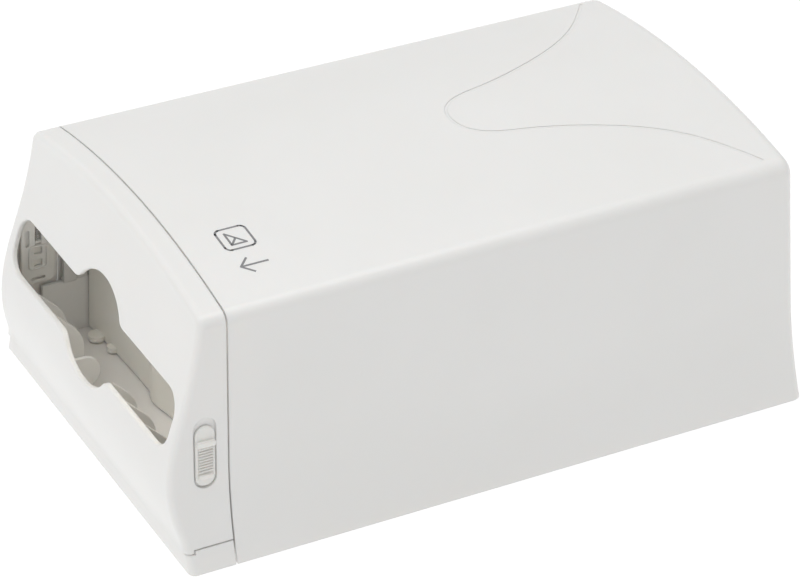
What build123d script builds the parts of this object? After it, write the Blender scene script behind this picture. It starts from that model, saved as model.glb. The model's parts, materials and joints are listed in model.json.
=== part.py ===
"""Tabletop dispenser for interfold napkins, drawn empty and closed.

Frame: +Z up, the dispensing front faces -Y, origin on the table midway along the width and within
2 mm of the middle of the length.
All sizes are in millimetres. Right-hand pieces are at +X; left-hand ones are their mirror images.
"""
from build123d import *
import math
import os

# ---------------------------------------------------------------- housing, outside
FOOT_H = 1.5                      # the rubber feet lift the housing off the table
Z0 = FOOT_H                       # lower edge of the housing
REAR_Y = 157.0                    # lower edge of the rear wall
BULGE_Y = -159.6                  # foremost point of the front
REAR_LEAN = 9.7                   # the rear wall leans in by this much at the shoulder
SHOULDER_Z = Z0 + 120.5           # height of the side edge of the top
CROWN_Z = Z0 + 130.0              # height of the top along its middle
SHOULDER_X = 85.4                 # half width at the shoulder
KNEE_Z = Z0 + 50.0                # below this the side walls flare
KNEE_X = 88.8
FOOT_X = 98.0                     # half width at the lower edge
TOP_FALL = 0.005                  # the top falls by this much per millimetre toward the front
TOP_FALL_START = 180.0            # where the top has its named height
SHOULDER_R_REAR = 9.0             # the shoulders sharpen from the rear end of the block to its front end
SHOULDER_R_FRONT = 5.0
REAR_R = 5.5
FRONT_R = 3.5
SHELL_WALL = 2.5
GROOVE_W = 1.2
GROOVE_DEPTH = 0.22
COVER_WALL = 2.4
LONG = 400.0                      # longer than the dispenser, for through cuts
SOLE_RUN = 6.0                    # the envelopes run this far below the housing before they are cut off

# ---------------------------------------------------------------- seams
COVER_REAR_Y = -132.0             # rear edge of the front cover and of the tray's ears
SHELL_FRONT_Y = -131.3            # front edge of the body shell
PLINTH_Y = -153.4                 # upright face of the tray's front plinth
COVER_FOOT_Y = -154.6             # the cover's lip stands a little proud of the plinth
PLINTH_TOP = Z0 + 9.0
COVER_LIP_Z = Z0 + 9.7            # lower edge of the cover across the front
EAR_TOP = Z0 + 10.7
COVER_SIDE_Z = Z0 + 11.3          # lower edge of the cover's side walls
EAR_FRONT_Y = -149.9
EAR_GAP = 0.5

# ---------------------------------------------------------------- cover hinge
HINGE_Y = -149.4
HINGE_Z = Z0 + 5.0
PIN_R = 1.0
KNUCKLE_R = 2.2
KNUCKLE_BORE_R = 1.06
NOSE_R = 4.85                     # plinth edge, rounded about the hinge axis
LIP_RELIEF_R = 5.05               # cover lip, cleared about the hinge axis
ARM_X = (84.6, 87.4)              # inner and outer face of the right hinge arm
ARM_GAP = 0.4
ARM_W = 3.2
ARM_POST_Y = -142.9
ARM_TOP_Z = Z0 + 27.0
HINGE_PLATE_T = 2.4

# ---------------------------------------------------------------- napkin slot
SLOT_HALF = 80.4
SLOT_LOW = Z0 + 54.2
SLOT_HIGH = Z0 + 80.8
SLOT_CORNER_R = 10.0
FINGER_R = 25.2
FINGER_Z = Z0 + 67.8
FINGER_BLEND_R = 6.0
SLOT_EDGE_R = 0.8
FIN_PLACES = (-56.0, -37.4, 18.7, 37.4, 56.0)   # upright fins on the inner face of the cover
LOW_FIN_X = -18.7
FIN_T = 1.8
FIN_REAR_Y = -141.4
FIN_LOW = Z0 + 18.5
FIN_SHOULDER_Z = Z0 + 33.5        # the fin's rear edge starts to slope forward here
FIN_SLOPE = (-146.5, Z0 + 44.5)   # start of its straight slope up to the wall
LOW_FIN_R = 8.0
LOW_FIN_END = (-150.0, Z0 + 32.2)

# ---------------------------------------------------------------- side latch, on the cover's side wall
LATCH_Y = -142.65                 # middle of the recess
LATCH_Z = Z0 + 55.4
WALL_LEAN = math.degrees(math.atan2(KNEE_X - SHOULDER_X, SHOULDER_Z - KNEE_Z))
LATCH_X = KNEE_X - (LATCH_Z - KNEE_Z) * math.tan(math.radians(WALL_LEAN))
RECESS_W = 10.6
RECESS_H = 34.4
RECESS_DEPTH = 1.1
STEM_SLOT = (-9.5, 12.5, 5.4)     # lower end, upper end and width of the slot in the recess floor
STEM = (-9.2, 9.0, 5.0)           # the slider's stem in that slot
BUTTON_BACK = -0.95
BUTTON_W = 9.2
BUTTON_H = 29.4
BUTTON_DROP = 1.5                 # the button rests this far below the middle of its recess
BUTTON_PROUD = 0.4
UPPER_BAR = (5.1, 8.8, 2.6, 1.5)  # place up the button, width, height and rise of a finger bar
LOWER_BAR = (-11.2, 7.0, 2.4, 1.1)
RIB_COUNT = 9
RIB_PITCH = 1.38
RIB_RISE = 0.6
LATCH_TRAVEL = 3.2
LATCH_GAP = 0.2                   # play between the cover's inner faces and the latch pieces
FLANGE_DEPTH = (-3.8, -2.75)      # inner and outer face of the slider's flange, from the wall's face
FLANGE_W = 12.4
FLANGE_H = 31.0
FRAME_DEPTH = (-5.1, -3.95)       # inner and outer face of the guide frame
FRAME_SIZE = (16.6, 36.7)
FRAME_RISE = 2.1                  # middle of the frame above the middle of the recess
WINDOW = (3.9, 3.6)
WINDOW_PLACES = (1.5, -5.1)
HOOK_REACH = 21.2                 # end of the hook behind the middle of the recess
HOOK_BAND = (-1.0, 4.0)
TOOTH_W = 2.6
TOOTH_DROP = 6.0
SPRING_SLOT = (5.0, 17.5)         # lower and upper end of the slot that holds the return spring
SPRING_R = 1.15
SPRING_DEPTH = -4.1
SPRING_WIRE_R = 0.22
SPRING_TURNS = 8

# ---------------------------------------------------------------- tray
FLOOR_T = 2.5
FLOOR_TOP = Z0 + 8.0
FLOOR_LOW = FLOOR_TOP - FLOOR_T
TRAY_HALF = 92.0
TRAY_REAR_Y = 151.0
RIB_T = 1.6
PLINTH_WALL = 1.6
CURB_IN = 84.6                    # half width of the napkin channel
CURB_T = 1.6
CURB_TOP = Z0 + 36.0
CURB_FRONT_Y = -140.4
STOP_T = 2.0
STOP_H = 14.0
STOP_HALF = 52.0

# ---------------------------------------------------------------- pusher
PLATE_LOW = FLOOR_TOP + 0.8
PLATE_HIGH = Z0 + 112.0
PLATE_HALF_LOW = 83.8
PLATE_HALF_HIGH = 82.2
PLATE_T = 2.0
PLATE_EDGE_Y = -117.9             # front face at the plate's side edges
PLATE_HOLLOW = (53.0, -115.8)
PLATE_CREASE = (23.9, -115.4)     # where the two middle lobes start
PLATE_LOBE = (13.5, -117.8)
PLATE_MIDDLE_Y = -115.6
TOES = [(72.6, 3.9, 5.2), (60.6, 2.8, 1.4)]   # place, radius and reach of the rounded toes
TOE_T = 2.6
FLANGE_Y = (-109.9, -107.9)       # front and back of the carriage's upright flange
FLANGE_TOP = FLOOR_TOP + 70.0
CARRIAGE_HALF = 70.0
CARRIAGE_REAR_Y = -77.0
CARRIAGE_LOW = FLOOR_TOP + 0.4
CARRIAGE_T = 2.5
TAIL_H = 11.0
GUSSETS = (-66.0, -44.0, -10.0, 10.0, 44.0, 66.0)
PLATE_BOSSES = [(50, FLOOR_TOP + 26), (-50, FLOOR_TOP + 26), (50, FLOOR_TOP + 58), (-50, FLOOR_TOP + 58)]
GUIDE_X = 60.0                    # floor slots that guide the carriage
GUIDE_W = 6.0
GUIDE_Y = (-107.4, 143.0)
NECK_W = 5.7
NECK_Y = (-107.0, -80.0)
SHOE_W = 13.0
SHOE_T = 2.0
SHOE_GAP = 0.25

# ---------------------------------------------------------------- constant-force springs
SPOOL_X = 30.0
SPOOL_Y = -93.0
COIL_R = 8.0
HUB_R = 4.45
COIL_BORE_R = 4.5
COIL_W = 12.0
SPOOL_W = 15.0
SPOOL_FLANGE_R = 7.4
SPOOL_BORE_R = 1.57
SPOOL_PIN_R = 1.5
SPOOL_Z = FLOOR_TOP + 0.35 + COIL_R
CHEEK_T = 2.0
STRIP_T = 0.2
STRIP_Z = FLOOR_TOP + 0.1
CLIP_Y = (-112.0, -103.0)
CLIP_T = 1.5

# ---------------------------------------------------------------- feet, bumpers and fasteners
FOOT_R = 6.4
FOOT_TOP = 3.2
FOOT_BOSS_R = 8.0
FOOT_PLACES = {"front_left": (-79, -118), "front_right": (79, -118),
               "rear_left": (-79, 130), "rear_right": (79, 130)}
BUMPER_X = 40.0
BUMPER_R = 5.0
BUMPER_T = 3.8
BUMPER_Z = FLOOR_TOP + 6.5
BOSS_R = 3.0
BOSS_X = 89.3
BOSS_TOP = Z0 + 25.0
SIDE_BOSSES = [(BOSS_X, -100), (BOSS_X, 96), (-BOSS_X, -100), (-BOSS_X, 96)]
REAR_BOSSES = [(76, 147.2), (-76, 147.2)]
REAR_WEB_Y = 154.0
SCREW_R = 1.45
SCREW_HOLE_R = 1.7
SCREW_HEAD_R = 2.8
SCREW_HEAD_T = 1.8


# ================================================================ shared shapes
def top_drop(y):
    """How far the top lies below its named height at a place along the length."""
    return TOP_FALL * (TOP_FALL_START - y)


def cross_section(inset, y, shoulder_r):
    """Outline of the housing across its width: flared foot, leaning walls, crowned top."""
    drop = top_drop(y) + inset
    wall_slope = (KNEE_X - SHOULDER_X) / (SHOULDER_Z - KNEE_Z)
    with BuildSketch(Plane.XZ.offset(-y)) as outline:
        with BuildLine():
            sole = (FOOT_X - inset, Z0 - SOLE_RUN - 1)
            foot = (FOOT_X - inset, Z0)
            knee = (KNEE_X - inset, KNEE_Z)
            shoulder = (SHOULDER_X - inset + wall_slope * drop, SHOULDER_Z - drop)
            wall = Line(shoulder, knee)
            TangentArc(knee, foot, tangent=wall % 1)
            Line(foot, sole)
            mirror(about=Plane.YZ)
            Line(sole, (-sole[0], sole[1]))
            ThreePointArc(shoulder, (0, CROWN_Z - drop), (-shoulder[0], shoulder[1]))
        make_face()
        top_corners = outline.vertices().group_by(Axis.Y)[-1]
        fillet(top_corners, radius=shoulder_r - inset)
    return outline.sketch


def housing_block(inset):
    """Long block with the housing's cross section, moved in by inset; its top falls to the front."""
    with BuildPart() as block:
        add(cross_section(inset, LONG / 2, SHOULDER_R_REAR))
        add(cross_section(inset, -LONG / 2, SHOULDER_R_FRONT))
        loft(ruled=True)
    return block.part


def shell_side(inset):
    """Outline of the body shell from the side; the rear wall leans in."""
    rear_top = REAR_Y - REAR_LEAN - inset
    lean = REAR_LEAN / (SHOULDER_Z - Z0)
    top = SHOULDER_Z + 40
    with BuildSketch(Plane.YZ.offset(-LONG / 2)) as outline:
        with BuildLine():
            low = Z0 - SOLE_RUN
            Polyline((SHELL_FRONT_Y - inset, low), (REAR_Y - inset + lean * SOLE_RUN, low),
                     (rear_top - 40 * lean, top), (SHELL_FRONT_Y - inset, top), close=True)
        make_face()
    return outline.sketch


def front_side(inset, foot_y):
    """Outline of the front from the side: upright foot, bulge, then a slope leaning back.

    An inset moves the front line back and runs the outline out past the rear and the lower edge.
    """
    slope_points = [(foot_y, Z0 + 9.5), (-156.5, Z0 + 19), (BULGE_Y, Z0 + 38), (-157.6, Z0 + 57),
                    (-150.6, Z0 + 83), (-145.2, Z0 + 109), (-143.2, Z0 + 126), (-142.1, Z0 + 140)]
    with BuildSketch(Plane.YZ.offset(-LONG / 2)) as outline:
        with BuildLine():
            slope = Spline([(y + inset, z) for y, z in slope_points], tangents=[(0, 1), (0.07, 1)])
            Polyline(slope @ 1, (COVER_REAR_Y + inset, Z0 + 140), (COVER_REAR_Y + inset, Z0 - SOLE_RUN),
                     (foot_y + inset, Z0 - SOLE_RUN), slope @ 0)
        make_face()
    return outline.sketch


def cut_sole(inset):
    """Block that takes away everything below the housing's lower edge, moved down by inset."""
    return box((-FOOT_X - 1, FOOT_X + 1), (-LONG, LONG), (Z0 - 2 * SOLE_RUN, Z0 - inset))


def shell_envelope(inset):
    """Solid block with the body shell's outside, moved in by inset."""
    with BuildPart() as block:
        add(housing_block(inset))
        extrude(shell_side(inset), amount=LONG, mode=Mode.INTERSECT)
        rear_face = block.faces().sort_by(Axis.Y)[-1]
        fillet(rear_face.edges().sort_by(Axis.Z)[1:], radius=REAR_R - inset)
        add(cut_sole(inset), mode=Mode.SUBTRACT)
    return block.part


def front_envelope(inset, foot_y=COVER_FOOT_Y):
    """Solid block with the front's outside, moved in by inset and run out behind and below."""
    with BuildPart() as block:
        add(housing_block(inset))
        extrude(front_side(inset, foot_y), amount=LONG, mode=Mode.INTERSECT)
        rim = block.edges().filter_by(lambda edge: edge.bounding_box().max.Y < COVER_REAR_Y - 1)
        fillet(rim.filter_by(Axis.X, reverse=True), radius=FRONT_R - inset)
        add(cut_sole(inset), mode=Mode.SUBTRACT)
    return block.part


def band(sketch_plane, left, right, low, high):
    """Rectangle from left to right and low to high on a plane."""
    with BuildSketch(sketch_plane) as shape:
        with Locations(((left + right) / 2, (low + high) / 2)):
            Rectangle(right - left, high - low)
    return shape.sketch


def box(x, y, z):
    """Block between the given lower and upper limits along each axis."""
    with BuildPart() as block:
        extrude(band(Plane.XY.offset(z[0]), x[0], x[1], y[0], y[1]), amount=z[1] - z[0])
    return block.part


def rod(start, along, radius, length):
    """Round bar from a start point along a direction."""
    with BuildPart() as bar:
        with BuildSketch(Plane(origin=start, z_dir=along)):
            Circle(radius)
        extrude(amount=length)
    return bar.part


def screw(start, along, length):
    """Pan-head screw; start is under the head and along points to its tip."""
    with BuildPart() as one_screw:
        with BuildSketch(Plane(origin=start, z_dir=along)):
            Circle(SCREW_R)
        extrude(amount=length)
        with BuildSketch(Plane(origin=start, z_dir=along)):
            Circle(SCREW_HEAD_R)
        extrude(amount=-SCREW_HEAD_T)
        head_rim = one_screw.edges().filter_by(GeomType.CIRCLE).sort_by(SortBy.RADIUS)[-2:]
        fillet(head_rim.sort_by(Axis(start, along))[0], radius=0.8)
        head_top = Vector(start) - Vector(along) * SCREW_HEAD_T
        with BuildSketch(Plane(origin=head_top, z_dir=along)):
            Rectangle(3.2, 0.7)
            Rectangle(0.7, 3.2)
        extrude(amount=0.8, mode=Mode.SUBTRACT)
    return one_screw.part


def save(piece, name):
    """Name a finished piece and write its STEP file."""
    piece.label = name
    export_step(piece, f"parts/{name}.step")


def save_pair(right_piece, name):
    """Write a right-hand piece and its mirror image."""
    save(right_piece, name + "_right")
    save(mirror(right_piece, about=Plane.YZ), name + "_left")


os.makedirs("parts", exist_ok=True)
shell_outside = shell_envelope(0)
shell_inside = shell_envelope(SHELL_WALL)
front_outside = front_envelope(0)
front_inside = front_envelope(COVER_WALL)
latch_room = front_envelope(COVER_WALL + LATCH_GAP)

# ================================================================ body shell
with BuildPart() as shell_bosses:
    with BuildSketch(Plane.XY.offset(FLOOR_TOP)):
        with Locations(*SIDE_BOSSES, *REAR_BOSSES):
            Circle(BOSS_R)
        for x, y in SIDE_BOSSES:
            with Locations((math.copysign(BOSS_X + 4, x), y)):
                Rectangle(8, RIB_T)
        for x, y in REAR_BOSSES:
            with Locations((x, (y + REAR_WEB_Y) / 2)):
                Rectangle(RIB_T, REAR_WEB_Y - y)
    extrude(amount=BOSS_TOP - FLOOR_TOP)
    add(housing_block(1.0), mode=Mode.INTERSECT)

# a shallow bell-shaped groove that follows the crown of the top
half_bell = [(6.8, 21.9), (11.6, 25.0), (16.4, 32.0), (20.2, 45.5), (24.5, 61.0), (30.6, 77.0), (39.2, 94.6),
             (50.6, 110.8), (65.8, 125.0), (78.6, 134.8)]
with BuildPart() as groove:
    with BuildSketch(Plane.XY.offset(SHOULDER_Z - 5)):
        with BuildLine():
            Spline([(-x, y) for x, y in reversed(half_bell)] + [(0, 20.7)] + half_bell)
        trace(line_width=GROOVE_W)
    extrude(amount=CROWN_Z - SHOULDER_Z + 10)

with BuildPart() as groove_floor:
    add(groove.part)
    add(housing_block(GROOVE_DEPTH), mode=Mode.INTERSECT)

with BuildPart() as body_shell:
    add(shell_outside)
    add(groove.part, mode=Mode.SUBTRACT)
    add(groove_floor.part)
    add(shell_inside, mode=Mode.SUBTRACT)
    add(shell_bosses.part)
    for x, y in SIDE_BOSSES + REAR_BOSSES:
        add(rod((x, y, FLOOR_TOP - 1), (0, 0, 1), SCREW_R, 12), mode=Mode.SUBTRACT)
save(body_shell.part, "body_shell")

# ================================================================ front cover
with BuildPart() as hinge_arm:
    with BuildSketch(Plane.YZ.offset(ARM_X[0])):
        with Locations((HINGE_Y, HINGE_Z)):
            Circle(KNUCKLE_R)
        with Locations(((HINGE_Y + ARM_POST_Y) / 2 + ARM_W / 4, HINGE_Z)):
            Rectangle(ARM_POST_Y - HINGE_Y + ARM_W / 2, ARM_W)
        with Locations((ARM_POST_Y, (HINGE_Z - ARM_W / 2 + ARM_TOP_Z) / 2)):
            Rectangle(ARM_W, ARM_TOP_Z - HINGE_Z + ARM_W / 2)
        with Locations((HINGE_Y, HINGE_Z)):
            Circle(KNUCKLE_BORE_R, mode=Mode.SUBTRACT)
    extrude(amount=ARM_X[1] - ARM_X[0])
    add(box((ARM_X[1] - 1, FOOT_X), (ARM_POST_Y - ARM_W / 2, ARM_POST_Y + ARM_W / 2),
            (COVER_SIDE_Z + 2, ARM_TOP_Z)))
    add(front_envelope(1.0), mode=Mode.INTERSECT)

LATCH_PLANE = Plane(origin=(LATCH_X, LATCH_Y, LATCH_Z), x_dir=(0, 1, 0),
                    z_dir=(math.cos(math.radians(WALL_LEAN)), 0, math.sin(math.radians(WALL_LEAN))))

with BuildPart() as recess:
    with BuildSketch(LATCH_PLANE.offset(-RECESS_DEPTH)):
        SlotOverall(RECESS_H, RECESS_W, rotation=90)
    extrude(amount=10)
    with BuildSketch(LATCH_PLANE.offset(-5)):
        with Locations((0, (STEM_SLOT[0] + STEM_SLOT[1]) / 2)):
            SlotOverall(STEM_SLOT[1] - STEM_SLOT[0], STEM_SLOT[2], rotation=90)
    extrude(amount=10)

with BuildPart() as slot_cut:
    with BuildSketch(Plane.XZ.offset(-COVER_REAR_Y + 7)) as slot_outline:
        with Locations((0, (SLOT_LOW + SLOT_HIGH) / 2)):
            RectangleRounded(2 * SLOT_HALF, SLOT_HIGH - SLOT_LOW, SLOT_CORNER_R)
        with Locations((0, FINGER_Z)):
            Circle(FINGER_R)
        meets = slot_outline.vertices().filter_by(lambda v: abs(v.X) < FINGER_R)
        fillet(meets, radius=FINGER_BLEND_R)
    extrude(amount=40)

with BuildPart() as cover_fins:
    for place in FIN_PLACES:
        with BuildSketch(Plane.YZ.offset(place - FIN_T / 2)):
            with BuildLine():
                reach = FIN_SLOPE[0] - BULGE_Y
                slope = Line((BULGE_Y, FIN_SLOPE[1] + reach), FIN_SLOPE)
                TangentArc(FIN_SLOPE, (FIN_REAR_Y, FIN_SHOULDER_Z), tangent=slope % 1)
                Polyline((FIN_REAR_Y, FIN_SHOULDER_Z), (FIN_REAR_Y, FIN_LOW), (BULGE_Y, FIN_LOW), slope @ 0)
            make_face()
        extrude(amount=FIN_T)
    with BuildSketch(Plane.YZ.offset(LOW_FIN_X - FIN_T / 2)):
        with Locations(LOW_FIN_END):
            Circle(LOW_FIN_R)
        with Locations(((BULGE_Y + LOW_FIN_END[0]) / 2, LOW_FIN_END[1])):
            Rectangle(LOW_FIN_END[0] - BULGE_Y, 2 * LOW_FIN_R)
    extrude(amount=FIN_T)
    add(front_envelope(1.0), mode=Mode.INTERSECT)
    add(slot_cut.part, mode=Mode.SUBTRACT)

with BuildPart() as front_cover:
    add(front_outside)
    add(front_inside, mode=Mode.SUBTRACT)
    with BuildSketch(Plane.YZ.offset(-LONG / 2)):
        with BuildLine():
            Polyline((COVER_REAR_Y, COVER_SIDE_Z), (EAR_FRONT_Y - EAR_GAP, COVER_SIDE_Z),
                     (EAR_FRONT_Y - EAR_GAP, COVER_LIP_Z), (-LONG, COVER_LIP_Z), (-LONG, LONG),
                     (COVER_REAR_Y, LONG), close=True)
        make_face()
    extrude(amount=LONG, mode=Mode.INTERSECT)
    add(rod((-LONG / 2, HINGE_Y, HINGE_Z), (1, 0, 0), LIP_RELIEF_R, LONG), mode=Mode.SUBTRACT)
    add(slot_cut.part, mode=Mode.SUBTRACT)
    slope = front_cover.faces().filter_by(lambda f: len(f.inner_wires()) > 0).sort_by(Axis.Y)[0]
    fillet(slope.inner_wires()[0].edges(), radius=SLOT_EDGE_R)
    add(recess.part, mode=Mode.SUBTRACT)
    add(mirror(recess.part, about=Plane.YZ), mode=Mode.SUBTRACT)
    add(hinge_arm.part)
    add(mirror(hinge_arm.part, about=Plane.YZ))
    add(cover_fins.part)
save(front_cover.part, "front_cover")

# ================================================================ side latches
with BuildPart() as latch_flange:
    # flange behind the wall, clear of the cover's front corner when the slider is up
    with BuildSketch(LATCH_PLANE.offset(FLANGE_DEPTH[0])):
        with Locations((0, -BUTTON_DROP)):
            RectangleRounded(FLANGE_W, FLANGE_H, 2)
    extrude(amount=FLANGE_DEPTH[1] - FLANGE_DEPTH[0])
    add(latch_room.moved(Location(LATCH_PLANE.y_dir * -LATCH_TRAVEL)), mode=Mode.INTERSECT)
    # hook that reaches into the shell, notch for the return spring and the tab that presses it
    with BuildSketch(LATCH_PLANE.offset(FLANGE_DEPTH[0])):
        with Locations(((HOOK_REACH + 4) / 2, (HOOK_BAND[0] + HOOK_BAND[1]) / 2)):
            Rectangle(HOOK_REACH - 4, HOOK_BAND[1] - HOOK_BAND[0])
        with Locations((HOOK_REACH - TOOTH_W / 2, HOOK_BAND[0] - TOOTH_DROP / 2 + 0.5)):
            Rectangle(TOOTH_W, TOOTH_DROP + 1)
    extrude(amount=FLANGE_DEPTH[1] - FLANGE_DEPTH[0])
    with BuildSketch(LATCH_PLANE.offset(FLANGE_DEPTH[0])):
        with Locations((0, SPRING_SLOT[0] + 2 + 8)):
            Rectangle(2 * SPRING_R + 1.2, 16)
    extrude(amount=FLANGE_DEPTH[1] - FLANGE_DEPTH[0], mode=Mode.SUBTRACT)
    with BuildSketch(LATCH_PLANE.offset(FRAME_DEPTH[0] + 0.1)):
        with Locations((0, SPRING_SLOT[0] + 1.3)):
            Rectangle(2.6, 1.4)
    extrude(amount=FLANGE_DEPTH[0] - FRAME_DEPTH[0] + 0.3)

with BuildPart() as latch_slider:
    with BuildSketch(LATCH_PLANE.offset(BUTTON_BACK)):
        with Locations((0, -BUTTON_DROP)):
            SlotOverall(BUTTON_H, BUTTON_W, rotation=90)
    extrude(amount=BUTTON_PROUD - BUTTON_BACK)
    fillet(latch_slider.edges().group_by(Axis(LATCH_PLANE.origin, LATCH_PLANE.z_dir))[-1], radius=0.7)
    with BuildSketch(LATCH_PLANE.offset(FLANGE_DEPTH[1] - 0.1)):
        with Locations((0, (STEM[0] + STEM[1]) / 2)):
            SlotOverall(STEM[1] - STEM[0], STEM[2], rotation=90)
    extrude(amount=BUTTON_BACK - FLANGE_DEPTH[1] + 0.2)
    for place, width, height, rise in (UPPER_BAR, LOWER_BAR):
        with BuildSketch(LATCH_PLANE.offset(BUTTON_PROUD - 0.5)):
            with Locations((0, place)):
                RectangleRounded(width, height, 0.9)
        extrude(amount=rise + 0.5)
    with BuildSketch(LATCH_PLANE.offset(BUTTON_PROUD - 0.5)):
        middle = (UPPER_BAR[0] + LOWER_BAR[0]) / 2
        with Locations((0, middle)):
            with GridLocations(0, RIB_PITCH, 1, RIB_COUNT):
                Rectangle(6.8, 0.65)
    extrude(amount=RIB_RISE + 0.5)
    add(latch_flange.part)
save_pair(latch_slider.part, "latch_slider")

with BuildPart() as latch_frame:
    with BuildSketch(LATCH_PLANE.offset(FRAME_DEPTH[0])):
        with Locations((0, FRAME_RISE)):
            RectangleRounded(*FRAME_SIZE, 3)
        for place in WINDOW_PLACES:
            with Locations((0, place)):
                RectangleRounded(*WINDOW, 0.5, mode=Mode.SUBTRACT)
        with Locations((0, (SPRING_SLOT[0] + SPRING_SLOT[1]) / 2)):
            Rectangle(2 * SPRING_R + 0.8, SPRING_SLOT[1] - SPRING_SLOT[0], mode=Mode.SUBTRACT)
        for side in (-1, 1):
            with Locations((side * 5.2, 9)):
                SlotOverall(9, 1.8, rotation=90, mode=Mode.SUBTRACT)
        with Locations((0, -13.6)):
            SlotOverall(7, 1.4, mode=Mode.SUBTRACT)
    extrude(amount=FRAME_DEPTH[1] - FRAME_DEPTH[0])
    # raised outline round the windows, on the inner face
    with BuildSketch(LATCH_PLANE.offset(FRAME_DEPTH[0] - 0.6)):
        with Locations((0, (WINDOW_PLACES[0] + WINDOW_PLACES[1]) / 2)):
            RectangleRounded(9.6, 13.2, 2.4)
            RectangleRounded(7.6, 11.2, 1.4, mode=Mode.SUBTRACT)
    extrude(amount=0.7)
    # rails that hold the plate off the wall; the rear rail leaves the hook free
    with BuildSketch(LATCH_PLANE.offset(FRAME_DEPTH[1] - 0.1)):
        with Locations((-7.4, FRAME_RISE)):
            Rectangle(1.6, FRAME_SIZE[1] - 8)
        with Locations((7.4, -8)):
            Rectangle(1.6, 11)
        with Locations((7.4, 12.2)):
            Rectangle(1.6, 7)
    extrude(amount=-COVER_WALL - 0.02 - FRAME_DEPTH[1] + 0.1)
    add(latch_room, mode=Mode.INTERSECT)
save_pair(latch_frame.part, "latch_frame")

with BuildPart() as latch_spring:
    spring_length = SPRING_SLOT[1] - SPRING_SLOT[0] - 2.1 - 2 * SPRING_WIRE_R
    spring_foot = LATCH_PLANE.from_local_coords((0, SPRING_SLOT[0] + 2.05 + SPRING_WIRE_R, SPRING_DEPTH))
    with BuildLine() as turns:
        Helix(pitch=spring_length / SPRING_TURNS, height=spring_length, radius=SPRING_R - SPRING_WIRE_R,
              center=spring_foot, direction=LATCH_PLANE.y_dir)
    with BuildSketch(Plane(origin=turns.line @ 0, z_dir=turns.line % 0)):
        Circle(SPRING_WIRE_R)
    sweep(path=turns.line, is_frenet=True)
save_pair(latch_spring.part, "latch_spring")

# ================================================================ catch for the hook
with BuildPart() as catch:
    with BuildSketch(Plane.YZ.offset(CURB_IN - 1.6)):
        with BuildLine():
            Polyline((-130.4, CURB_TOP + 12), (-130.4, CURB_TOP), (-124.2, CURB_TOP), (-124.2, CURB_TOP + 12))
            ThreePointArc((-130.4, CURB_TOP + 12), (-127.3, CURB_TOP + 15.1), (-124.2, CURB_TOP + 12))
        make_face()
    extrude(amount=1.6)
    add(box((CURB_IN - 0.5, CURB_IN + CURB_T), (-130.4, -118), (CURB_TOP, CURB_TOP + 1.8)))
save_pair(catch.part, "catch")

# ================================================================ hinge pins
PIN_X = (ARM_X[0] - ARM_GAP - HINGE_PLATE_T + 0.2, ARM_X[1] + ARM_GAP + HINGE_PLATE_T - 0.2)
hinge_pin = rod((PIN_X[0], HINGE_Y, HINGE_Z), (1, 0, 0), PIN_R, PIN_X[1] - PIN_X[0])
save_pair(hinge_pin, "hinge_pin")

# ================================================================ base tray
with BuildPart() as tray_front:
    # plinth across the front and an ear at each side, with the housing's outside
    add(front_envelope(0, PLINTH_Y))
    add(front_envelope(PLINTH_WALL, PLINTH_Y), mode=Mode.SUBTRACT)
    with BuildSketch(Plane.YZ.offset(-LONG / 2)):
        with BuildLine():
            nose = math.sqrt(NOSE_R ** 2 - (PLINTH_TOP - HINGE_Z) ** 2)
            nose_low = math.sqrt(NOSE_R ** 2 - (PLINTH_Y - HINGE_Y) ** 2)
            nose_mid = NOSE_R * math.sqrt(0.5)
            Polyline((HINGE_Y - nose, PLINTH_TOP), (EAR_FRONT_Y, PLINTH_TOP), (EAR_FRONT_Y, EAR_TOP),
                     (COVER_REAR_Y, EAR_TOP), (COVER_REAR_Y, Z0 - 5), (PLINTH_Y - 1, Z0 - 5),
                     (PLINTH_Y - 1, HINGE_Z + nose_low), (PLINTH_Y, HINGE_Z + nose_low))
            ThreePointArc((PLINTH_Y, HINGE_Z + nose_low), (HINGE_Y - nose_mid, HINGE_Z + nose_mid),
                          (HINGE_Y - nose, PLINTH_TOP))
        make_face()
    extrude(amount=LONG, mode=Mode.INTERSECT)

with BuildPart() as floor_front:
    add(front_envelope(1.0, PLINTH_Y))
    add(box((-FOOT_X, FOOT_X), (-LONG, COVER_REAR_Y), (FLOOR_LOW, FLOOR_TOP)), mode=Mode.INTERSECT)

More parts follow.
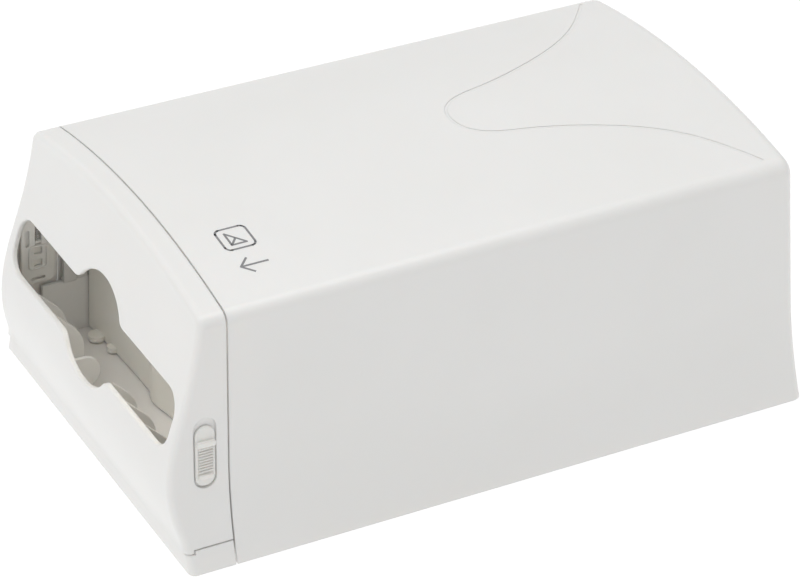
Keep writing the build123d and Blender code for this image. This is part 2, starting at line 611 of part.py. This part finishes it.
with BuildPart() as base_tray:
    add(tray_front.part)
    add(floor_front.part)
    add(box((-TRAY_HALF, TRAY_HALF), (COVER_REAR_Y - 1, TRAY_REAR_Y), (FLOOR_LOW, FLOOR_TOP)))
    # rear stop wall, curbs beside the napkins, and ribs below the floor
    stop_y = (TRAY_REAR_Y - STOP_T, TRAY_REAR_Y)
    add(box((-STOP_HALF, STOP_HALF), stop_y, (FLOOR_TOP - 1, FLOOR_TOP + STOP_H)))
    for side in (-1, 1):
        curb = sorted((side * CURB_IN, side * (CURB_IN + CURB_T)))
        add(box(curb, (CURB_FRONT_Y, TRAY_REAR_Y), (FLOOR_TOP - 1, CURB_TOP)))
        skirt = sorted((side * TRAY_HALF, side * (TRAY_HALF - RIB_T)))
        add(box(skirt, (COVER_REAR_Y, TRAY_REAR_Y), (Z0 + 0.6, FLOOR_LOW + 1)))
        for place in (18, 44):
            rib = (side * place - RIB_T / 2, side * place + RIB_T / 2)
            add(box(rib, (PLINTH_Y + 1, TRAY_REAR_Y - 1), (Z0 + 0.6, FLOOR_LOW + 1)))
        for inner in (ARM_X[0] - ARM_GAP - HINGE_PLATE_T, ARM_X[1] + ARM_GAP):
            plate = sorted((side * inner, side * (inner + HINGE_PLATE_T)))
            add(box(plate, (PLINTH_Y + 1, HINGE_Y + 5.5), (Z0 + 0.6, FLOOR_TOP)))
    add(box((-TRAY_HALF, TRAY_HALF), (TRAY_REAR_Y - RIB_T, TRAY_REAR_Y), (Z0 + 0.6, FLOOR_LOW + 1)))
    with BuildSketch(Plane.XY.offset(FOOT_TOP - 1.2)):
        with Locations(*FOOT_PLACES.values()):
            Circle(FOOT_BOSS_R)
    extrude(amount=FLOOR_LOW - FOOT_TOP + 1.2)
    with BuildSketch(Plane.XY.offset(FOOT_TOP)):
        with Locations(*FOOT_PLACES.values()):
            Circle(FOOT_R + 0.1)
    extrude(amount=-3, mode=Mode.SUBTRACT)
    # room for the hinge arms, the pins, the guide slots, the strip clips and the screws
    for side in (-1, 1):
        gap = sorted((side * (ARM_X[0] - ARM_GAP), side * (ARM_X[1] + ARM_GAP)))
        add(box(gap, (PLINTH_Y + PLINTH_WALL, CURB_FRONT_Y), (0, FLOOR_TOP + 1)), mode=Mode.SUBTRACT)
        guide = (side * GUIDE_X - GUIDE_W / 2, side * GUIDE_X + GUIDE_W / 2)
        add(box(guide, GUIDE_Y, (0, FLOOR_TOP + 1)), mode=Mode.SUBTRACT)
        clip_pocket = (side * SPOOL_X - 8.1, side * SPOOL_X + 8.1)
        add(box(clip_pocket, (CLIP_Y[0] - 0.1, CLIP_Y[1] + 0.1), (FLOOR_TOP - CLIP_T, FLOOR_TOP + 1)),
            mode=Mode.SUBTRACT)
        pin_start = (side * PIN_X[0], HINGE_Y, HINGE_Z)
        add(rod(pin_start, (side, 0, 0), PIN_R, PIN_X[1] - PIN_X[0]), mode=Mode.SUBTRACT)
        bumper_hole = (side * BUMPER_X, TRAY_REAR_Y - 10, BUMPER_Z)
        add(rod(bumper_hole, (0, 1, 0), 2, 20), mode=Mode.SUBTRACT)
    for x, y in SIDE_BOSSES + REAR_BOSSES:
        add(rod((x, y, 0), (0, 0, 1), SCREW_HOLE_R, FLOOR_TOP + 1), mode=Mode.SUBTRACT)
        add(rod((x, y, 0), (0, 0, 1), SCREW_HEAD_R + 0.4, FLOOR_LOW), mode=Mode.SUBTRACT)
save(base_tray.part, "base_tray")

# ================================================================ feet, bumpers and shell screws
for name, (x, y) in FOOT_PLACES.items():
    with BuildPart() as foot:
        with BuildSketch():
            with Locations((x, y)):
                Circle(FOOT_R)
        extrude(amount=FOOT_TOP)
        fillet(foot.edges().sort_by(Axis.Z)[0], radius=0.8)
    save(foot.part, f"foot_{name}")

with BuildPart() as rear_bumper:
    add(rod((BUMPER_X, TRAY_REAR_Y - STOP_T, BUMPER_Z), (0, -1, 0), BUMPER_R, BUMPER_T))
    fillet(rear_bumper.edges().sort_by(Axis.Y)[0], radius=1.5)
    add(rod((BUMPER_X, TRAY_REAR_Y - STOP_T - 1, BUMPER_Z), (0, 1, 0), 2, STOP_T + 1))
save_pair(rear_bumper.part, "rear_bumper")

with BuildPart() as shell_screws:
    for x, y in SIDE_BOSSES + REAR_BOSSES:
        add(screw((x, y, FLOOR_LOW), (0, 0, 1), FLOOR_T + 10))
save(shell_screws.part, "shell_screws")

# ================================================================ pusher plate
with BuildPart() as pusher_plate:
    with BuildSketch(Plane.XY.offset(PLATE_LOW)):
        with BuildLine():
            for back in (0, PLATE_T):
                for side in (-1, 1):
                    ThreePointArc((side * PLATE_HALF_LOW, PLATE_EDGE_Y + back),
                                  (side * PLATE_HOLLOW[0], PLATE_HOLLOW[1] + back),
                                  (side * PLATE_CREASE[0], PLATE_CREASE[1] + back))
                Spline((-PLATE_CREASE[0], PLATE_CREASE[1] + back), (-PLATE_LOBE[0], PLATE_LOBE[1] + back),
                       (0, PLATE_MIDDLE_Y + back), (PLATE_LOBE[0], PLATE_LOBE[1] + back),
                       (PLATE_CREASE[0], PLATE_CREASE[1] + back), tangents=[(1, -0.5), (1, 0.5)])
            for side in (-1, 1):
                Line((side * PLATE_HALF_LOW, PLATE_EDGE_Y), (side * PLATE_HALF_LOW, PLATE_EDGE_Y + PLATE_T))
        make_face()
    extrude(amount=PLATE_HIGH - PLATE_LOW)
    with BuildSketch(Plane.XZ.offset(90)) as outline:
        with BuildLine():
            Polyline((-PLATE_HALF_LOW, PLATE_LOW), (PLATE_HALF_LOW, PLATE_LOW), (PLATE_HALF_HIGH, PLATE_HIGH),
                     (-PLATE_HALF_HIGH, PLATE_HIGH), close=True)
        make_face()
        fillet(outline.vertices().group_by(Axis.Y)[-1], radius=12)
    extrude(amount=50, mode=Mode.INTERSECT)
    with BuildSketch(Plane.XY.offset(PLATE_LOW)):
        for place, radius, reach in TOES:
            for side in (-1, 1):
                with Locations((side * place, PLATE_EDGE_Y - reach + radius)):
                    Circle(radius)
        # the toes stop at the plate's back
        with Locations((0, PLATE_EDGE_Y + 2.6 + 10)):
            Rectangle(2 * PLATE_HALF_LOW + 10, 20, mode=Mode.SUBTRACT)
    extrude(amount=TOE_T)
    with BuildSketch(Plane.XZ.offset(-FLANGE_Y[0])):
        with Locations(*PLATE_BOSSES):
            Circle(4)
    extrude(amount=4.6)
    for x, z in PLATE_BOSSES:
        add(rod((x, FLANGE_Y[0] + 1, z), (0, -1, 0), SCREW_R, 5), mode=Mode.SUBTRACT)
save(pusher_plate.part, "pusher_plate")

# ================================================================ pusher carriage
SLED_TOP = CARRIAGE_LOW + CARRIAGE_T
with BuildPart() as pusher_carriage:
    add(box((-CARRIAGE_HALF, CARRIAGE_HALF), (FLANGE_Y[0], CARRIAGE_REAR_Y), (CARRIAGE_LOW, SLED_TOP)))
    with BuildSketch(Plane.XZ.offset(-FLANGE_Y[1])) as upright:
        with Locations((0, (SLED_TOP - 1 + FLANGE_TOP) / 2)):
            Rectangle(2 * CARRIAGE_HALF, FLANGE_TOP - SLED_TOP + 1)
        fillet(upright.vertices().group_by(Axis.Y)[-1], radius=14)
        with Locations((0, FLOOR_TOP + 48)):
            RectangleRounded(70, 24, 5, mode=Mode.SUBTRACT)
    extrude(amount=FLANGE_Y[1] - FLANGE_Y[0])
    tail_y = (CARRIAGE_REAR_Y - 2, CARRIAGE_REAR_Y)
    add(box((-CARRIAGE_HALF, CARRIAGE_HALF), tail_y, (CARRIAGE_LOW, FLOOR_TOP + TAIL_H)))
    for place in GUSSETS:
        with BuildSketch(Plane.YZ.offset(place - 1)):
            with BuildLine():
                Polyline((FLANGE_Y[1] - 0.5, SLED_TOP - 0.5), (CARRIAGE_REAR_Y - 1.5, SLED_TOP - 0.5),
                         (CARRIAGE_REAR_Y - 1.5, SLED_TOP + 5), (FLANGE_Y[1] - 0.5, FLANGE_TOP - 26),
                         close=True)
            make_face()
        extrude(amount=2)
    for side in (-1, 1):
        window = (side * SPOOL_X - SPOOL_W / 2 - 0.3, side * SPOOL_X + SPOOL_W / 2 + 0.3)
        add(box(window, (FLANGE_Y[0] - 1, SPOOL_Y + COIL_R + 2), (CARRIAGE_LOW - 1, SLED_TOP + 1)),
            mode=Mode.SUBTRACT)
        for cheek in (window[0] - CHEEK_T, window[1]):
            with BuildSketch(Plane.YZ.offset(cheek)):
                with Locations((SPOOL_Y, SPOOL_Z)):
                    Circle(4.5)
                with Locations((SPOOL_Y, (SLED_TOP - 0.5 + SPOOL_Z) / 2)):
                    Rectangle(9, SPOOL_Z - SLED_TOP + 0.5)
                with Locations((SPOOL_Y, SPOOL_Z)):
                    Circle(SPOOL_PIN_R, mode=Mode.SUBTRACT)
            extrude(amount=CHEEK_T)
        neck = (side * GUIDE_X - NECK_W / 2, side * GUIDE_X + NECK_W / 2)
        add(box(neck, NECK_Y, (FLOOR_LOW - SHOE_GAP, CARRIAGE_LOW + 1)))
        for y in (NECK_Y[0] + 6, NECK_Y[1] - 6):
            add(rod((side * GUIDE_X, y, 0), (0, 0, 1), SCREW_R, CARRIAGE_LOW + 1), mode=Mode.SUBTRACT)
    for x, z in PLATE_BOSSES:
        add(rod((x, FLANGE_Y[1] + 1, z), (0, -1, 0), SCREW_HOLE_R, 5), mode=Mode.SUBTRACT)
save(pusher_carriage.part, "pusher_carriage")

with BuildPart() as glide_shoe:
    with BuildSketch(Plane.XY.offset(FLOOR_LOW - SHOE_GAP)):
        with Locations((GUIDE_X, (NECK_Y[0] + NECK_Y[1]) / 2)):
            RectangleRounded(SHOE_W, NECK_Y[1] - NECK_Y[0], 3)
        for y in (NECK_Y[0] + 6, NECK_Y[1] - 6):
            with Locations((GUIDE_X, y)):
                Circle(SCREW_HOLE_R, mode=Mode.SUBTRACT)
    extrude(amount=-SHOE_T)
save_pair(glide_shoe.part, "glide_shoe")

with BuildPart() as pusher_screws:
    for x, z in PLATE_BOSSES:
        add(screw((x, FLANGE_Y[1], z), (0, -1, 0), 5.5))
    for side in (-1, 1):
        for y in (NECK_Y[0] + 6, NECK_Y[1] - 6):
            add(screw((side * GUIDE_X, y, FLOOR_LOW - SHOE_GAP - SHOE_T), (0, 0, 1), SHOE_T + 3.5))
save(pusher_screws.part, "pusher_screws")

# ================================================================ constant-force springs
with BuildPart() as spring_spool:
    with BuildSketch(Plane.YZ.offset(SPOOL_X - SPOOL_W / 2)):
        with Locations((SPOOL_Y, SPOOL_Z)):
            Circle(SPOOL_FLANGE_R)
    extrude(amount=SPOOL_W)
    with BuildSketch(Plane.YZ.offset(SPOOL_X - COIL_W / 2 - 0.1)):
        with Locations((SPOOL_Y, SPOOL_Z)):
            Circle(SPOOL_FLANGE_R + 1)
            Circle(HUB_R, mode=Mode.SUBTRACT)
    extrude(amount=COIL_W + 0.2, mode=Mode.SUBTRACT)
    add(rod((SPOOL_X - SPOOL_W, SPOOL_Y, SPOOL_Z), (1, 0, 0), SPOOL_BORE_R, 2 * SPOOL_W), mode=Mode.SUBTRACT)
save_pair(spring_spool.part, "spring_spool")

with BuildPart() as spring_coil:
    with BuildSketch(Plane.YZ.offset(SPOOL_X - COIL_W / 2)):
        with Locations((SPOOL_Y, SPOOL_Z)):
            Circle(COIL_R)
            Circle(COIL_BORE_R, mode=Mode.SUBTRACT)
    extrude(amount=COIL_W)
save_pair(spring_coil.part, "spring_coil")

spool_reach = SPOOL_W / 2 + 0.3 + CHEEK_T
spool_pin = rod((SPOOL_X - spool_reach, SPOOL_Y, SPOOL_Z), (1, 0, 0), SPOOL_PIN_R, 2 * spool_reach)
save_pair(spool_pin, "spool_pin")

strip_x = (SPOOL_X - COIL_W / 2, SPOOL_X + COIL_W / 2)
save_pair(box(strip_x, (CLIP_Y[0] + 2, SPOOL_Y), (STRIP_Z, STRIP_Z + STRIP_T)), "spring_strip")

save_pair(box((SPOOL_X - 8, SPOOL_X + 8), CLIP_Y, (FLOOR_TOP - CLIP_T, STRIP_Z)), "strip_clip")
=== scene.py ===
import json
import math
import bmesh
import bpy
from mathutils import Matrix, Vector
from mathutils.bvhtree import BVHTree


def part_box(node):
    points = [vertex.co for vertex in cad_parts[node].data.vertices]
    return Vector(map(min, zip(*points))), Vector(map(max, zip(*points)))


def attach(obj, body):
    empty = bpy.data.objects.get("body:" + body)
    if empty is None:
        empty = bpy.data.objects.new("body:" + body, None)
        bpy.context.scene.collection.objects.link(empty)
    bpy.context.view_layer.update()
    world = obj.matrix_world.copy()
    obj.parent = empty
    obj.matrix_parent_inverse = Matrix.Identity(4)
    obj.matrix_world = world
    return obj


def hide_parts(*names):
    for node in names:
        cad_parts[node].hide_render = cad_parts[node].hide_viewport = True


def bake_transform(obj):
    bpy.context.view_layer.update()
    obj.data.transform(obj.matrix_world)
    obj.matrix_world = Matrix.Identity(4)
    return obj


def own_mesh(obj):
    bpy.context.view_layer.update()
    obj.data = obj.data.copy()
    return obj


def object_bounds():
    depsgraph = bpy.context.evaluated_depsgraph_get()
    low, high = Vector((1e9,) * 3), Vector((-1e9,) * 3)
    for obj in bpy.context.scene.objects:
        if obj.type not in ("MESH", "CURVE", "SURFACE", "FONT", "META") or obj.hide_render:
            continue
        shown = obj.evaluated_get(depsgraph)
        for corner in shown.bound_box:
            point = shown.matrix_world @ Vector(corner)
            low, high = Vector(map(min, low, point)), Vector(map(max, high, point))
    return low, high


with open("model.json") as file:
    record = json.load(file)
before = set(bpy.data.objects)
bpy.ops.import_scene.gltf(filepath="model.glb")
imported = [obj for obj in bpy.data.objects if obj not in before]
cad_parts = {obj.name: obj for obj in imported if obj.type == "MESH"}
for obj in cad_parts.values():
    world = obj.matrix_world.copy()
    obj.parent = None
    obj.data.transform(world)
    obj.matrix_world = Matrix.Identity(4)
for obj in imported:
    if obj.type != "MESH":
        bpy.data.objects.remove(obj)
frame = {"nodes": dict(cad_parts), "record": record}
cad_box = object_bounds()
nodes = frame["nodes"]
scene = bpy.context.scene
SIDES = ("left", "right")

# ---------------------------------------- camera
AZIMUTH, ELEVATION, ROLL = (math.radians(a) for a in (60.33, 32.97, 2.35))
CAMERA_AT = Vector((1.24343, -0.71016, 0.97588))
back = Vector((math.sin(AZIMUTH) * math.cos(ELEVATION), -math.cos(AZIMUTH) * math.cos(ELEVATION),
               math.sin(ELEVATION)))
level = Vector((math.cos(AZIMUTH), math.sin(AZIMUTH), 0))
upright = back.cross(level)
right = level * math.cos(ROLL) + upright * math.sin(ROLL)
up = upright * math.cos(ROLL) - level * math.sin(ROLL)
camera = bpy.data.objects.new("camera", bpy.data.cameras.new("camera"))
camera.data.sensor_width = 36
camera.data.lens = 169.9
camera.data.clip_end = 20
camera.matrix_world = Matrix.Translation(CAMERA_AT) @ Matrix((right, up, back)).transposed().to_4x4()
scene.collection.objects.link(camera)
scene.camera = camera


# ---------------------------------------- materials
SPREAD_FROM = (0.3, 0.7)  # noise values that become the low and the high end of a spread
TINT_FROM = (0.35, 0.65)  # noise values that become the first and the second colour
BEVEL_SAMPLES = 6
EDGE_ROUNDING = 0.0007

# how many features in a metre, and how deep in metres
CLOUD_SCALE, POLISH_SCALE, WAVE_SCALE, DRAWN_SCALE = 14, 40, 9, 500
WAVE_DEPTH, DRAWN_DEPTH = 0.0006, 0.000004


def new_material(name):
    """An empty material with its shader and object coordinates."""
    material = bpy.data.materials.new(name)
    material.use_nodes = True
    tree = material.node_tree
    shader = tree.nodes["Principled BSDF"]
    place = tree.nodes.new("ShaderNodeTexCoord")
    return material, tree, shader, place.outputs["Object"]


def noise(tree, place, scale, detail=2.0, stretch=(1, 1, 1)):
    """Value of a noise with so many features in a metre, stretched along the axes."""
    mapping = tree.nodes.new("ShaderNodeMapping")
    mapping.inputs["Scale"].default_value = stretch
    texture = tree.nodes.new("ShaderNodeTexNoise")
    texture.inputs["Scale"].default_value = scale
    texture.inputs["Detail"].default_value = detail
    tree.links.new(place, mapping.inputs["Vector"])
    tree.links.new(mapping.outputs["Vector"], texture.inputs["Vector"])
    return texture.outputs["Fac"]


def spread(tree, value, low, high):
    """A noise value turned into the range from low to high."""
    ramp = tree.nodes.new("ShaderNodeMapRange")
    ramp.inputs["From Min"].default_value = SPREAD_FROM[0]
    ramp.inputs["From Max"].default_value = SPREAD_FROM[1]
    ramp.inputs["To Min"].default_value = low
    ramp.inputs["To Max"].default_value = high
    tree.links.new(value, ramp.inputs["Value"])
    return ramp.outputs["Result"]


def tint(tree, value, first, second):
    """A colour between first and second, by value."""
    ramp = tree.nodes.new("ShaderNodeValToRGB")
    for element, position, colour in zip(ramp.color_ramp.elements, TINT_FROM, (first, second)):
        element.position = position
        element.color = (*colour, 1)
    tree.links.new(value, ramp.inputs["Fac"])
    return ramp.outputs["Color"]


def relief(tree, shader, layers, edge=0.0):
    """Bumps on bumps, each layer (value, depth, strength); edges look rounded by edge metres."""
    normal = None
    if edge:
        rounded = tree.nodes.new("ShaderNodeBevel")
        rounded.samples = BEVEL_SAMPLES
        rounded.inputs["Radius"].default_value = edge
        normal = rounded.outputs["Normal"]
    for value, depth, strength in layers:
        bump = tree.nodes.new("ShaderNodeBump")
        bump.inputs["Distance"].default_value = depth
        bump.inputs["Strength"].default_value = strength
        tree.links.new(value, bump.inputs["Height"])
        if normal:
            tree.links.new(normal, bump.inputs["Normal"])
        normal = bump.outputs["Normal"]
    tree.links.new(normal, shader.inputs["Normal"])


def moulded(name, colour, shade, rough, grain=900, depth=0.00001, clear=0.0):
    """Moulded plastic: faint cloudiness, fine spark-eroded grain, slow waviness, uneven polish."""
    material, tree, shader, place = new_material(name)
    cloudy = noise(tree, place, CLOUD_SCALE, 3)
    tree.links.new(tint(tree, cloudy, colour, shade), shader.inputs["Base Color"])
    polish = noise(tree, place, POLISH_SCALE, 4)
    tree.links.new(spread(tree, polish, rough - 0.04, rough + 0.05), shader.inputs["Roughness"])
    fine = noise(tree, place, grain, 2)
    wavy = noise(tree, place, WAVE_SCALE, 1, (1, 0.35, 1))
    relief(tree, shader, ((wavy, WAVE_DEPTH, 0.5), (fine, depth, 0.6)), edge=EDGE_ROUNDING)
    shader.inputs["IOR"].default_value = 1.5
    if clear:
        shader.inputs["Subsurface Weight"].default_value = clear
        shader.inputs["Subsurface Radius"].default_value = (1.0, 0.75, 0.6)
        shader.inputs["Subsurface Scale"].default_value = 0.003
    return material


def metal(name, colour, shade, rough, stretch):
    """Rolled or plated metal with fine drawn scratches along one axis."""
    material, tree, shader, place = new_material(name)
    drawn = noise(tree, place, DRAWN_SCALE, 3, stretch)
    tree.links.new(tint(tree, drawn, colour, shade), shader.inputs["Base Color"])
    tree.links.new(spread(tree, drawn, rough - 0.07, rough + 0.08), shader.inputs["Roughness"])
    relief(tree, shader, ((drawn, DRAWN_DEPTH, 0.5),))
    shader.inputs["Metallic"].default_value = 1.0
    return material


white = moulded("white_abs", (0.85, 0.845, 0.83), (0.835, 0.83, 0.812), 0.33, clear=0.12)
# painted light: the pusher plate's white plastic is made lighter and warmer than the shell's, for the
# light that reaches into the magazine
inner_painted_light = moulded("inner_abs_painted_light", (0.95, 0.92, 0.85), (0.93, 0.90, 0.83), 0.45, depth=0.000015, clear=0.2)
latch = moulded("latch_abs", (0.86, 0.845, 0.81), (0.84, 0.825, 0.79), 0.3, clear=0.25)
carriage = moulded("carriage_plastic", (0.72, 0.715, 0.70), (0.69, 0.685, 0.67), 0.5, 700, 0.00002)
spool = moulded("spool_plastic", (0.06, 0.06, 0.063), (0.045, 0.045, 0.047), 0.45, 700, 0.00002)
rubber = moulded("foot_rubber", (0.03, 0.03, 0.031), (0.045, 0.045, 0.045), 0.75, 1400, 0.00004)
print_grey = moulded("printed_grey", (0.24, 0.24, 0.245), (0.27, 0.27, 0.275), 0.5, 2000, 0.000006)
steel = metal("spring_steel", (0.74, 0.74, 0.75), (0.66, 0.66, 0.67), 0.3, (1, 0.05, 1))
zinc = metal("zinc_screw", (0.60, 0.60, 0.60), (0.50, 0.50, 0.51), 0.32, (1, 1, 0.3))

FINISH = {"white_abs": white, "latch_abs": latch, "carriage_plastic": carriage, "spool_plastic": spool,
          "spring_steel": steel, "zinc_screw": zinc, "rubber": rubber}
for part in frame["record"]["subparts"]:
    # the pusher plate takes the lightened white, which is painted light for the light inside the magazine
    chosen = inner_painted_light if part["node"] == "pusher_plate" else FINISH[part["material_slot"]]
    for material_slot in nodes[part["node"]].material_slots:
        material_slot.material = chosen

# keeps the shading of the crown and the shoulders even across long, thin triangles
even = nodes["body_shell"].modifiers.new("even_shading", "WEIGHTED_NORMAL")
even.keep_sharp = True


# ---------------------------------------- mesh helpers
def finished(name, mesh):
    """Mesh data made from a bmesh, once its normals agree."""
    bmesh.ops.recalc_face_normals(mesh, faces=mesh.faces)
    data = bpy.data.meshes.new(name)
    mesh.to_mesh(data)
    mesh.free()
    return data


def skin(name, rings):
    """A closed mesh over rings of points, with the first and the last ring filled in."""
    mesh = bmesh.new()
    rows = [[mesh.verts.new(point) for point in ring] for ring in rings]
    corners = len(rows[0])
    for first, second in zip(rows, rows[1:]):
        for k in range(corners):
            after = (k + 1) % corners
            mesh.faces.new((first[k], first[after], second[after], second[k]))
    mesh.faces.new(rows[0])
    mesh.faces.new(reversed(rows[-1]))
    return finished(name, mesh)


def tube(path, radius, corners=10):
    """A closed round tube through a list of points."""
    turns = [2 * math.pi * k / corners for k in range(corners)]
    rings = []
    for i, point in enumerate(path):
        along = (path[min(i + 1, len(path) - 1)] - path[max(i - 1, 0)]).normalized()
        side = along.cross(Vector((0, 0, 1))).normalized()
        over = side.cross(along)
        rings.append([point + (side * math.cos(t) + over * math.sin(t)) * radius for t in turns])
    return skin("tube", rings)


def make_object(name, mesh, material, body):
    """A smooth mesh as a piece of its own, riding on a body."""
    piece = bpy.data.objects.new(name, mesh)
    scene.collection.objects.link(piece)
    mesh.materials.append(material)
    for polygon in mesh.polygons:
        polygon.use_smooth = True
    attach(piece, body)
    return piece


# ---------------------------------------- flat springs of the pusher: straight steel strips in the place of the CAD strips
STRIP_STEPS = 60
for side in SIDES:
    low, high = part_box(f"spring_strip_{side}")
    edge = (high.z - low.z) / 2
    rim = ((low.x + edge, low.z), (high.x - edge, low.z), (high.x, low.z + edge),
           (high.x - edge, high.z), (low.x + edge, high.z), (low.x, low.z + edge))
    stations = [low.y + (high.y - low.y) * step / STRIP_STEPS for step in range(STRIP_STEPS + 1)]
    strip_mesh = skin(f"strip_{side}", [[(x, y, z) for x, z in rim] for y in stations])
    strip = bpy.data.objects.new(f"strip_{side}", strip_mesh)
    scene.collection.objects.link(strip)
    strip_mesh.materials.append(steel)
    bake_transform(strip)
    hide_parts(f"spring_strip_{side}")

# ---------------------------------------- return springs of the latches
SPRING_TURNS, END_TURNS, STEPS_A_TURN, WIRE_R = 7, 1, 24, 0.00022
for side, sign in zip(SIDES, (-1, 1)):
    low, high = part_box(f"latch_spring_{side}")
    width = high.y - low.y
    middle_y = (low.y + high.y) / 2
    outer, inward = (high.x, low.x) if sign > 0 else (low.x, high.x)
    foot = Vector((outer - sign * width / 2, middle_y, low.z + WIRE_R))
    head = Vector((inward + sign * width / 2, middle_y, high.z - WIRE_R))
    lean = (head - foot).normalized()
    across = Vector((0, 1, 0))
    aside = lean.cross(across)
    # an end turn rises by only the wire's own thickness
    end_pitch = 2 * WIRE_R / (head - foot).length
    path = []
    for step in range((SPRING_TURNS + 2 * END_TURNS) * STEPS_A_TURN + 1):
        turn = step / STEPS_A_TURN
        inside = min(max(turn - END_TURNS, 0), SPRING_TURNS) / SPRING_TURNS
        ends = min(turn, END_TURNS) + max(turn - END_TURNS - SPRING_TURNS, 0)
        height = end_pitch * ends + (1 - 2 * END_TURNS * end_pitch) * inside
        angle = 2 * math.pi * turn
        swing = (across * math.cos(angle) + aside * math.sin(angle)) * (width / 2 - WIRE_R)
        path.append(foot.lerp(head, height) + swing)
    spring = make_object(f"return_spring_{side}", tube(path, WIRE_R), steel, "cover")
    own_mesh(spring)
    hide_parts(f"latch_spring_{side}")

# ---------------------------------------- printed mark: a folded napkin and a pull arrow
shell_tree = BVHTree.FromObject(nodes["body_shell"], bpy.context.evaluated_depsgraph_get())
MARK_AT = Vector((0.0525, -0.107))
INK_LIFT, STROKE, RUNG_STEP = 0.00003, 0.001, 0.001
HIGH_ABOVE = 1
MM_IN_A_METRE = 1000


def arc(centre, radius, start, end, steps=8):
    """Points on an arc; angles in degrees."""
    angles = [math.radians(start + (end - start) * i / steps) for i in range(steps + 1)]
    return [(centre[0] + radius * math.cos(a), centre[1] + radius * math.sin(a)) for a in angles]


# the lines of the mark, in millimetres from its middle
FRAME_X, CORNER_AT, CORNER_R = -9.5, 4.5, 2.5
frame_line = []
for x_sign, y_sign, start in ((1, 1, 0), (-1, 1, 90), (-1, -1, 180), (1, -1, 270)):
    corner = (FRAME_X + x_sign * CORNER_AT, y_sign * CORNER_AT)
    frame_line += arc(corner, CORNER_R, start, start + 90)
frame_line.append(frame_line[0])
napkin_line = [(-13.5, -3.4), (-5.5, -3.4), (-5.5, 3.6), (-13.5, -3.4)]
fold_line = [(-9.5, 0.1), (-5.5, -3.4)]
arrow_line = [(8.5, 6.5), (8.5, -5.8)]
head_line = [(4.0, -1.6), (8.5, -6.1), (13.0, -1.6)]
ink = bmesh.new()
for line in (frame_line, napkin_line, fold_line, arrow_line, head_line):
    points = [Vector(p) / MM_IN_A_METRE for p in line]
    for a, b in zip(points, points[1:]):
        along = (b - a).normalized()
        normal = Vector((-along.y, along.x)) * STROKE / 2
        # strokes run on a little at both ends, so that corners close
        a, b = a - along * STROKE / 4, b + along * STROKE / 4
        pieces = max(1, round((b - a).length / RUNG_STEP))
        rungs = []
        for i in range(pieces + 1):
            centre = MARK_AT + a.lerp(b, i / pieces)
            rung = []
            for spot in (centre - normal, centre + normal):
                hit = shell_tree.ray_cast(Vector((spot.x, spot.y, HIGH_ABOVE)), Vector((0, 0, -1)))[0]
                rung.append(ink.verts.new(hit + Vector((0, 0, INK_LIFT))))
            rungs.append(rung)
        for one, two in zip(rungs, rungs[1:]):
            ink.faces.new((one[0], two[0], two[1], one[1]))
make_object("printed_mark", finished("printed_mark", ink), print_grey, "housing")


# ---------------------------------------- stage
FLOOR_SIZE, FLOOR_GAP = 14, 0.0003
FLOOR_GLOW, WORLD_STRENGTH = 1.0, 0.47
LOWEST = cad_box[0][2]
bpy.ops.mesh.primitive_plane_add(size=FLOOR_SIZE, location=(0, 0, LOWEST - FLOOR_GAP))
floor = bpy.context.object
floor.name = "floor"
floor_material, floor_tree, floor_shader, floor_place = new_material("pale_floor")
floor_tone = tint(floor_tree, noise(floor_tree, floor_place, 3, 2), (0.06, 0.06, 0.06), (0.07, 0.07, 0.07))
floor_tree.links.new(floor_tone, floor_shader.inputs["Base Color"])
floor_shader.inputs["Roughness"].default_value = 0.9
floor_shader.inputs["Emission Color"].default_value = (1, 1, 1, 1)
floor_shader.inputs["Emission Strength"].default_value = FLOOR_GLOW
floor.data.materials.append(floor_material)

world = bpy.data.worlds.new("studio")
world.use_nodes = True
world.node_tree.nodes["Background"].inputs["Color"].default_value = (1.0, 1.0, 1.0, 1)
world.node_tree.nodes["Background"].inputs["Strength"].default_value = WORLD_STRENGTH
scene.world = world


def soft_light(name, at, towards, size, power, depth=None, colour=(1, 1, 1)):
    """An area light that the camera doesn't see, square unless it has a depth of its own."""
    lamp = bpy.data.lights.new(name, "AREA")
    lamp.shape = "RECTANGLE"
    lamp.size = size
    lamp.size_y = depth or size
    lamp.energy = power
    lamp.color = colour
    light = bpy.data.objects.new(name, lamp)
    light.location = at
    light.rotation_euler = (Vector(towards) - Vector(at)).to_track_quat("-Z", "Y").to_euler()
    light.visible_camera = False
    scene.collection.objects.link(light)


# places and sizes in metres, powers in watts
AIM = (0, 0, 0.06)  # about the middle of the object
KEY_AT, KEY_SIZE, KEY_POWER = (-0.3, -1.6, 2.0), 1.4, 15
OVERHEAD_AT, OVERHEAD_SIZE, OVERHEAD_POWER = (0, 0.3, 2.6), 2.0, 27
soft_light("key", KEY_AT, AIM, KEY_SIZE, KEY_POWER)
soft_light("overhead", OVERHEAD_AT, AIM, OVERHEAD_SIZE, OVERHEAD_POWER)

# a warm strip inside the magazine, under the top: it stands in for light through the thin white walls
plate_low, plate_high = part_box("pusher_plate")
cover_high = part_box("front_cover")[1]
GLOW_X, GLOW_DROP, GLOW_REACH, GLOW_RAISE = 0.03, 0.012, 0.014, 0.01
GLOW_SIZE, GLOW_DEPTH, GLOW_POWER, GLOW_COLOUR = 0.1, 0.008, 0.014, (1, 0.95, 0.87)
glow_at = (GLOW_X, cover_high.y, cover_high.z - GLOW_DROP)
glow_to = (GLOW_X, cover_high.y + GLOW_REACH, (plate_low.z + plate_high.z) / 2 + GLOW_RAISE)
soft_light("glow", glow_at, glow_to, GLOW_SIZE, GLOW_POWER, depth=GLOW_DEPTH, colour=GLOW_COLOUR)

scene.view_settings.view_transform = "Standard"
scene.view_settings.look = "None"
